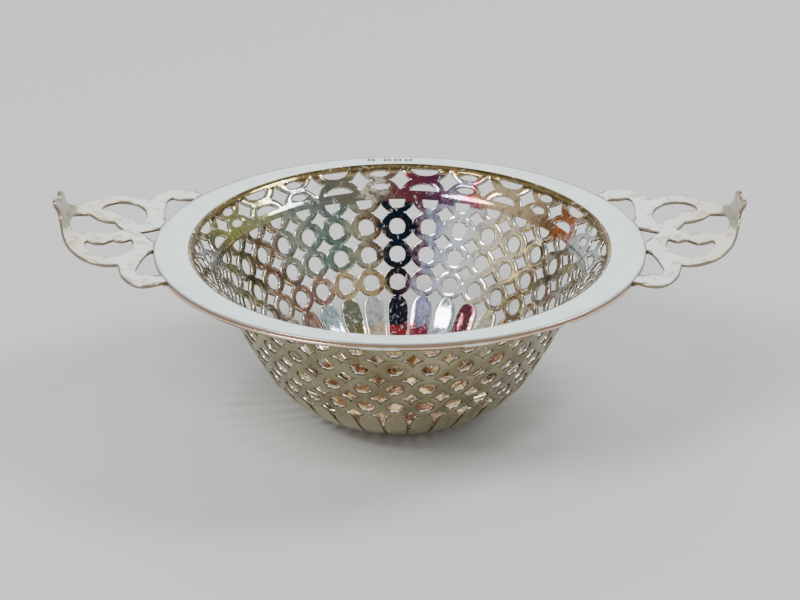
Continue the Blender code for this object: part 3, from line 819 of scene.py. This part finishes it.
bowlLook = {
    "flange": (0.65, 0.755, 0.73),
    # the outside's olive tone is a painted reflection of a warm floor, darker in cloudy patches
    "outside": (0.355, 0.320, 0.205),
    "outsideDark": (0.235, 0.205, 0.12),
    # painted light for the outside near the base
    "outsideFootLight": (0.66, 0.60, 0.39),
    # painted shade along the cut edges by the lower face, and painted highlight by the upper
    "outsideEdgeShade": (0.16, 0.13, 0.08),
    "insideEdgeHighlight": (0.92, 0.91, 0.86),
    # painted reflection line along the flange's outer edge
    "flangeEdgeReflection": (0.34, 0.20, 0.13),
    # painted reflections round the inside, from the right hand by way of the back to the left
    "wall": [(0.0, (0.42, 0.41, 0.35)), (0.10, (0.34, 0.31, 0.24)), (0.17, (0.30, 0.22, 0.13)),
             (0.23, (0.80, 0.66, 0.42)), (0.30, (0.92, 0.82, 0.60)), (0.345, (0.96, 0.94, 0.90)),
             (0.39, (0.86, 0.93, 0.99)), (0.432, (0.46, 0.50, 0.68)), (0.462, (0.22, 0.12, 0.16)),
             (0.478, (0.006, 0.011, 0.022)), (0.532, (0.010, 0.022, 0.034)), (0.545, (0.17, 0.09, 0.06)),
             (0.58, (0.40, 0.38, 0.24)), (0.62, (0.12, 0.20, 0.16)), (0.68, (0.22, 0.28, 0.23)),
             (0.74, (0.34, 0.36, 0.28)), (0.80, (0.32, 0.20, 0.15)), (0.86, (0.22, 0.23, 0.08)),
             (0.93, (0.33, 0.31, 0.14)), (1.0, (0.26, 0.25, 0.17))],
    "wallFoot": [(0.0, (0.36, 0.34, 0.26)), (0.14, (0.26, 0.15, 0.09)), (0.24, (0.30, 0.24, 0.20)),
                 (0.32, (0.80, 0.76, 0.64)), (0.39, (0.84, 0.91, 0.95)), (0.45, (0.42, 0.42, 0.56)),
                 (0.476, (0.16, 0.05, 0.05)), (0.49, (0.008, 0.012, 0.02)), (0.525, (0.03, 0.02, 0.02)),
                 (0.545, (0.50, 0.36, 0.18)), (0.64, (0.60, 0.46, 0.26)), (0.70, (0.32, 0.18, 0.15)),
                 (0.78, (0.36, 0.24, 0.20)), (0.86, (0.50, 0.46, 0.32)), (1.0, (0.26, 0.25, 0.16))],
    # the shoulder's painted reflections
    "brow": [(0.0, (0.66, 0.72, 0.74)), (0.10, (0.62, 0.66, 0.66)), (0.14, (0.46, 0.13, 0.03)),
             (0.18, (0.20, 0.12, 0.06)), (0.24, (0.56, 0.42, 0.24)), (0.33, (0.62, 0.48, 0.28)),
             (0.36, (0.40, 0.06, 0.09)), (0.39, (0.34, 0.33, 0.46)), (0.43, (0.12, 0.03, 0.07)),
             (0.50, (0.20, 0.04, 0.05)), (0.53, (0.22, 0.17, 0.12)), (0.548, (0.80, 0.74, 0.55)),
             (0.565, (0.24, 0.20, 0.14)), (0.62, (0.17, 0.17, 0.12)), (0.70, (0.24, 0.28, 0.26)),
             (0.78, (0.34, 0.33, 0.17)), (0.88, (0.30, 0.30, 0.07)), (0.94, (0.14, 0.12, 0.06)),
             (1.0, (0.40, 0.42, 0.42))],
    # one painted reflection tint for each petal, the same way round
    "petalTop": [(0.40, 0.38, 0.30), (0.30, 0.22, 0.14), (0.44, 0.40, 0.30), (0.24, 0.14, 0.08),
                 (0.66, 0.58, 0.42), (0.16, 0.03, 0.05), (0.52, 0.60, 0.72), (0.40, 0.42, 0.62),
                 (0.008, 0.012, 0.026), (0.60, 0.60, 0.58), (0.20, 0.20, 0.13), (0.38, 0.50, 0.52),
                 (0.28, 0.13, 0.12), (0.52, 0.48, 0.34), (0.32, 0.30, 0.14), (0.36, 0.34, 0.24),
                 (0.28, 0.27, 0.18)],
    "petalFoot": [(0.36, 0.30, 0.20), (0.46, 0.36, 0.20), (0.22, 0.14, 0.08), (0.58, 0.46, 0.28),
                  (0.42, 0.18, 0.08), (0.30, 0.03, 0.07), (0.66, 0.70, 0.76), (0.34, 0.03, 0.07),
                  (0.36, 0.03, 0.03), (0.72, 0.54, 0.38), (0.22, 0.17, 0.09), (0.52, 0.64, 0.66),
                  (0.30, 0.20, 0.10), (0.60, 0.52, 0.38), (0.24, 0.20, 0.10), (0.42, 0.36, 0.22),
                  (0.32, 0.28, 0.18)],
    # painted reflections on the base inside the bowl
    "floor": [(0.0, (0.74, 0.45, 0.16)), (0.46, (0.80, 0.58, 0.28)), (0.52, (0.26, 0.11, 0.035)),
              (1.0, (0.12, 0.06, 0.03))],
    # cells of painted reflections, towards the handles
    "reflectedClutter": [(0.66, 0.58, 0.40), (0.10, 0.07, 0.04), (0.74, 0.74, 0.70), (0.26, 0.25, 0.10),
                (0.34, 0.16, 0.12), (0.54, 0.56, 0.52), (0.50, 0.42, 0.12), (0.14, 0.16, 0.13)],
    # painted reflections down the mouth's bend, from the flange
    "bend": [(0.0, (0.08, 0.045, 0.015)), (0.25, (0.30, 0.23, 0.09)), (0.5, (0.10, 0.06, 0.02)),
             (0.72, (0.42, 0.33, 0.17)), (1.0, (0.58, 0.47, 0.29))],
    "punches": (-5.6, -2.4, -0.4, 1.7),  # places along the back of the flange
    "punchLine": 40.1,
    "punchDark": (0.03, 0.027, 0.024),
    "brushed": (0.50, 0.54, 0.50),
    # painted highlight and painted dark reflection for the petals' streaks
    "petalHighlight": (0.90, 0.90, 0.88),
    "petalDarkReflection": (0.10, 0.07, 0.05),
    # dark smears of painted reflection over the inside
    "darkReflectionSmear": (0.05, 0.045, 0.04),
    "flangeStart": (38.15, 38.45),  # radius over which the inside's look turns to the flange's
    "wallSplit": (15.0, 16.2),  # height over which the wall's two rows of painted reflections meet
    "browDepth": (6.0, 5.4),  # below the flange, for the shoulder's own painted reflections
    "petalSplit": (4.6, 4.1),  # below the petals' tops, where their two painted reflection tints meet
    "floorLevel": (2.6, 3.6),
    "footLevel": (3.0, 13.0),  # height over which painted light pales the outside towards the base
    "lift": 0.00006,  # metres
}


def punchMarks(x, y, p):
    # four small framed squares: 1 inside each frame line and each centre dot, where reach is
    # the larger of the distances across and along from a square's middle
    marks = 0.0
    for place in p["punches"]:
        reach = abs(x - place).math("MAXIMUM", abs(y - p["punchLine"]) * 1.25)
        frame = reach.step(0.34, 0.42) * (1 - reach.step(0.70, 0.76))
        marks = marks + frame + (1 - reach.step(0.14, 0.22))
    return marks


def wallReflections(place, z, turn, p):
    # painted reflections round the wall, by the share of a half turn, drifting with the patches of a
    # noise: one row above wallSplit and one below it; its drift also picks the shoulder's own
    patches = noise(stretched(place, (0.28, 0.28, 0.2)), 1.0, 3.0, 0.6) - 0.5
    drift = turn + patches * 0.11 + (noise(place, 0.9, 2.0) - 0.5) * 0.05
    foot = 1 - (z + patches * 5.0).step(*p["wallSplit"])
    return patches, drift, mixColours(foot, ramp(drift, p["wall"]), ramp(drift, p["wallFoot"]))


def petalReflections(place, z, turn, petalTop, p):
    # the painted reflection tints of a petal are picked by its number, one near its top and one below;
    # long streaks of painted highlight and painted dark reflection then pale and darken it
    number = ((turn * 16 + 0.42).math("FLOOR") + 0.5) * (1 / len(p["petalTop"]))
    high, low = p["petalSplit"]
    split = (z + (noise(place, 0.6) - 0.5) * 4.0).step(petalTop - high, petalTop - low)
    petal = mixColours(split, ramp(number, equalSteps(p["petalFoot"]), "CONSTANT"),
                       ramp(number, equalSteps(p["petalTop"]), "CONSTANT"))
    # long streaks of painted highlight and painted dark reflection
    shine = noise(stretched(place, (1.9, 1.9, 0.16)), 1.0, 2.0, 0.5)
    petal = mixColours(shine.step(0.54, 0.72) * 0.4, petal, p["petalHighlight"])
    return mixColours((1 - shine).step(0.54, 0.70) * 0.35, petal, p["petalDarkReflection"])


def insideReflections(place, z, turn, p):
    # painted reflections of wall, shoulder, petals, floor and the mouth's bend, each over the last in
    # its own band of height; near the two handles they break into cells of painted reflected clutter
    patches, drift, inside = wallReflections(place, z, turn, p)
    # cells of painted reflected clutter towards the two handles
    cells = place.node("ShaderNodeTexVoronoi", {}, {"Vector": stretched(place, (0.42, 0.42, 0.3)),
                                                    "Scale": 1.0}, 1)
    scatter = ramp(cells.parts()[0], equalSteps(p["reflectedClutter"]), "CONSTANT")
    sideways = abs(turn - 0.5).step(0.16, 0.40)
    inside = mixColours(sideways * 0.75 * noise(place, 0.5).step(0.42, 0.52), inside, scatter)
    deep, shallow = p["browDepth"]
    brow = (z + patches * 1.2).step(rimTop - deep, rimTop - shallow)
    # the shoulder's painted reflections over the wall's
    inside = mixColours(brow, inside, ramp(drift, p["brow"]))
    petalTop = rimTop + float(np.interp(wallEnd, tableDown, tableHeight))
    # the petals' painted reflections
    petal = petalReflections(place, z, turn, petalTop, p)
    petal = mixColours(sideways * 0.8 * noise(place, 0.7).step(0.45, 0.55), petal, scatter)
    inside = mixColours(1 - z.step(petalTop - 0.3, petalTop + 0.3), inside, petal)
    # painted reflections on the base
    floor = ramp(noise(place, 0.35), p["floor"])
    inside = mixColours(1 - z.step(*p["floorLevel"]), inside, floor)
    # painted reflections down the mouth's bend
    waves = noise(stretched(place, (0.15, 0.15, 1.0)), 1.0) - 0.5
    down = (rimTop - z) * 0.62 + waves * 0.5
    return mixColours(1 - down.step(0.75, 1.0), inside, ramp(down, p["bend"]))


def bowlMetal(t, p=bowlLook):
    # the sheet's upper face has the inside's painted reflections and the brushed flange, its lower face
    # the plain outside in a painted reflection tint, and its cut edges a painted line of light and shade
    place = inMillimetres(t)
    x, y, z = place.parts()
    face, edge = sheetParts(t)
    flange = ((x * x + y * y) ** 0.5).step(*p["flangeStart"])
    turn = abs(y.math("ARCTAN2", x) * (1 / math.pi))  # 0 at the right hand, 1 at the left
    fine, cross, cloudy = wear(place)
    # the inside's painted reflections
    inside = insideReflections(place, z, turn, p)
    # the outside's olive painted reflection of a warm floor, darker in cloudy patches
    outside = mixColours(cloudy.step(0.35, 0.65), p["outside"], p["outsideDark"])
    # painted light pales the outside towards the base
    outside = mixColours((1 - z.step(*p["footLevel"])) * 0.75, outside, p["outsideFootLight"])
    colour = mixColours(face, outside, inside)
    brushing = cloudy.step(0.4, 0.7) * 0.35 + fine.step(0.55, 0.8) * 0.3
    colour = mixColours(flange * face, colour, mixColours(brushing, p["flange"], p["brushed"]))
    bowlFace = face * (1 - flange)
    # painted glints over the inside, in the edge highlight's colour
    glints = noise(stretched(place, (1.1, 1.1, 0.7)), 1.0, 3.0, 0.7).step(0.60, 0.66)
    colour = mixColours(glints * bowlFace * 0.7, colour, p["insideEdgeHighlight"])
    # dark smears of painted reflection
    darkReflectionSmear = noise(stretched(place, (0.8, 0.8, 0.22)), 1.0, 3.0, 0.65).step(0.52, 0.62)
    colour = mixColours(darkReflectionSmear * bowlFace * 0.42, colour, p["darkReflectionSmear"])
    # painted light along the cut edges: highlight by the upper face, shade by the lower
    paintedEdgeLight = mixColours(face * face * face, p["outsideEdgeShade"], p["insideEdgeHighlight"])
    # on the flange's outer edge, a painted reflection line instead
    colour = mixColours(edge * 0.9, colour, mixColours(flange, paintedEdgeLight, p["flangeEdgeReflection"]))
    marks = punchMarks(x, y, p) * face
    colour = mixColours(marks, colour, p["punchDark"])
    rough = 0.07 + cloudy * 0.06 + (1 - face) * 0.17 + flange * 0.16 + fine.step(0.6, 0.75) * 0.08
    height = noise(place, 0.35, 2.0) + fine * 0.05 + cross * 0.05 - marks * 1.5
    return colour, rough, height, p["lift"]


handleLook = {
    "inner": (0.67, 0.71, 0.66),
    "outer": (0.61, 0.585, 0.48),
    "blotch": (0.42, 0.34, 0.22),
    "edge": (0.24, 0.18, 0.10),
    "outerStart": (48.0, 56.0),  # distance from the middle over which inner turns to outer
    "lift": 0.00005,  # metres
}


def handleMetal(t, p=handleLook):
    # pale by the flange, warmer outward, with tan blotches and darker sawn edges
    place = inMillimetres(t)
    x, y, z = place.parts()
    face, edge = sheetParts(t)
    fine, cross, cloudy = wear(place)
    colour = mixColours(abs(x).step(*p["outerStart"]), p["inner"], p["outer"])
    colour = mixColours(noise(place, 0.45, 3.0, 0.6).step(0.50, 0.66) * 0.75, colour, p["blotch"])
    colour = mixColours(edge * 0.8, colour, p["edge"])
    rough = 0.22 + cloudy * 0.12 + cross.step(0.6, 0.8) * 0.1
    return colour, rough, noise(place, 0.4, 2.0) + fine * 0.06 + cross * 0.06, p["lift"]


wireLook = {
    # painted reflection bands up the wire's outer side
    "bands": [(0.0, (0.26, 0.21, 0.13)), (0.22, (0.08, 0.03, 0.025)), (0.38, (0.34, 0.13, 0.10)),
              (0.52, (0.80, 0.60, 0.46)), (0.85, (0.86, 0.72, 0.56)), (1.0, (0.24, 0.13, 0.07))],
    # painted glint for the wire's bright stretches
    "glint": (0.92, 0.92, 0.88),
    "lift": 0.00003,  # metres
}


def wireMetal(t, p=wireLook):
    # painted reflection bands by the share of the wire's height, waved by a slow noise, with painted
    # glints
    place = inMillimetres(t)
    x, y, z = place.parts()
    fine, cross, cloudy = wear(place)
    low = rimTop - wire["bottom"]
    waves = noise(place, 0.12, 1.0) - 0.5
    up = (z - low) * (1 / (wire["bottom"] - wire["top"])) + waves * 0.5
    glints = noise(place, 0.16, 2.0).step(0.58, 0.62) * 0.8
    colour = mixColours(glints, ramp(up, p["bands"]), p["glint"])
    return colour, 0.10 + fine * 0.08, fine * 0.2 + cloudy, p["lift"]


solderLook = {
    "clean": (0.66, 0.62, 0.52),
    "dull": (0.50, 0.44, 0.32),
    "lift": 0.00006,  # metres
}


def solderMetal(t, p=solderLook):
    # clean and dull patches over a lumpy surface
    place = inMillimetres(t)
    fine, cross, cloudy = wear(place)
    colour = mixColours(cloudy.step(0.4, 0.6), p["clean"], p["dull"])
    return colour, 0.28 + cloudy * 0.15, noise(place, 3.0, 2.0), p["lift"]


buildBowl(piercing, newMetal("polishedSheetSilver", bowlMetal))
buildWire(wire, newMetal("drawnWireSilver", wireMetal))
sawnSilver = newMetal("sawnHandleSilver", handleMetal)
beadSilver = newMetal("hardSolder", solderMetal)
padMiddle = sum(handle["pad"]) / 2
lobeMiddle = sum(handle["lobe"]) / 2
for word, side in (("left", -1), ("right", 1)):
    buildHandle(word + "Handle", word + "_handle", side, handle, sawnSilver)
    for spot, y in (("back_lobe", lobeMiddle), ("back_neck", padMiddle),
                    ("front_neck", -padMiddle), ("front_lobe", -lobeMiddle)):
        first, second = spot.split("_")
        bead = word + first.title() + second.title() + "Solder"
        node = word + "_" + spot + "_solder"
        buildSolder(bead, node, y, side, solder, handle, beadSilver)
print("pieces built")

studio = {
    "floor": (0.56, 0.56, 0.55),
    "floorRoughness": 0.85,
    "floorReach": 3.0,  # metres, as is everything below
    "world": (0.90, 0.92, 0.94),
    "worldStrength": 0.78,
    "aim": (0.00005, 0.0, 0.0210),
    "elevation": 25.2,  # degrees
    "distance": 0.445,
    "nearest": 0.01,
    "lens": 109.26,  # millimetres, as is the sensor
    "sensor": 36,
    # place, size, power in watts and colour of each lamp
    "lamps": [((-0.5, -0.35, 0.75), 0.4, 7.0, (1.0, 0.98, 0.94)),
              ((0.6, 0.1, 0.7), 0.3, 5.0, (0.95, 0.97, 1.0)),
              ((0.0, 0.8, 0.45), 0.7, 1.8, (0.97, 1.0, 1.0))],
}


def buildFloor(s):
    # one square of pale paper
    reach = s["floorReach"]
    corners = [(-reach, -reach, 0), (reach, -reach, 0), (reach, reach, 0), (-reach, reach, 0)]
    mesh = bpy.data.meshes.new("floor")
    mesh.from_pydata(corners, [], [(0, 1, 2, 3)])
    paper = bpy.data.materials.new("palePaper")
    paper.use_nodes = True
    shader = paper.node_tree.nodes["Principled BSDF"]
    shader.inputs["Base Color"].default_value = (*s["floor"], 1)
    shader.inputs["Roughness"].default_value = s["floorRoughness"]
    mesh.materials.append(paper)
    floor = bpy.data.objects.new("floor", mesh)
    bpy.context.scene.collection.objects.link(floor)


def buildLights(s, aim):
    # an even pale room, and round lamps that all face the strainer
    world = bpy.data.worlds.new("softRoom")
    world.use_nodes = True
    sky = world.node_tree.nodes["Background"]
    sky.inputs[0].default_value = (*s["world"], 1)
    sky.inputs[1].default_value = s["worldStrength"]
    bpy.context.scene.world = world
    for place, size, power, colour in s["lamps"]:
        lamp = bpy.data.objects.new("softLamp", bpy.data.lights.new("softLamp", "AREA"))
        lamp.data.shape = "DISK"
        lamp.data.size = size
        lamp.data.energy = power
        lamp.data.color = colour
        lamp.location = place
        lamp.rotation_euler = (aim - lamp.location).to_track_quat("-Z", "Y").to_euler()
        bpy.context.scene.collection.objects.link(lamp)


def buildCamera(s, aim):
    # distance from the aim, straight in front of it and raised by the elevation
    camera = bpy.data.objects.new("camera", bpy.data.cameras.new("camera"))
    tilt = math.radians(s["elevation"])
    camera.location = aim + s["distance"] * Vector((0, -math.cos(tilt), math.sin(tilt)))
    camera.rotation_euler = (math.pi / 2 - tilt, 0, 0)
    camera.data.lens = s["lens"]
    camera.data.sensor_width = s["sensor"]
    camera.data.clip_start = s["nearest"]
    bpy.context.scene.collection.objects.link(camera)
    bpy.context.scene.camera = camera


aim = Vector(studio["aim"])
buildFloor(studio)
buildLights(studio, aim)
buildCamera(studio, aim)
print("studio built")
